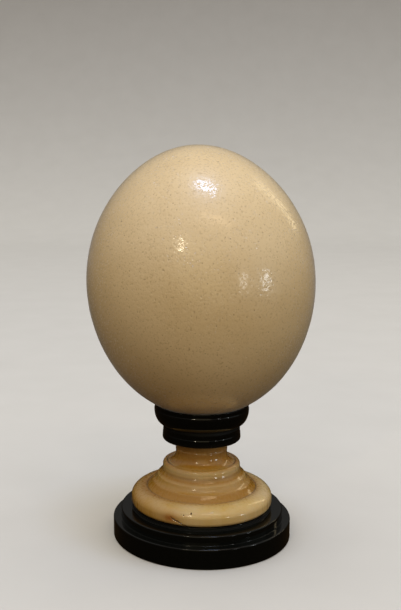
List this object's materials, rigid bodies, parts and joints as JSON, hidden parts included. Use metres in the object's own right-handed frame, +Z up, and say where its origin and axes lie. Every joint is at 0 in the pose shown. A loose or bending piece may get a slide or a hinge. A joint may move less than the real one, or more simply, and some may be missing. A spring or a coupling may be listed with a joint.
{
  "type": "ostrich egg on a turned stand",
  "caption": "Pored ostrich egg standing upright in a black turned cup, on an ivory-coloured turned pedestal and a stepped round black base.",
  "frame": {"origin": "on the supporting surface, under the centre of the base", "axes": "+Z up along the stand's turned axis; -Y towards the side the picture shows; the egg leans 3 degrees towards -X"},
  "size_m": [0.1272, 0.1274, 0.2233],
  "materials": {
    "eggshell": "cream to tan eggshell, satin gloss, with fine dark pores",
    "ivory": "warm yellow-brown ivory-coloured turning, polished, slightly translucent",
    "ebonised_wood": "black ebonised wood, glossy polish"
  },
  "bodies": {
    "root": {"egg": "eggshell", "cup": "ebonised_wood", "pedestal": "ivory", "base": "ebonised_wood"}
  },
  "joints": []
}
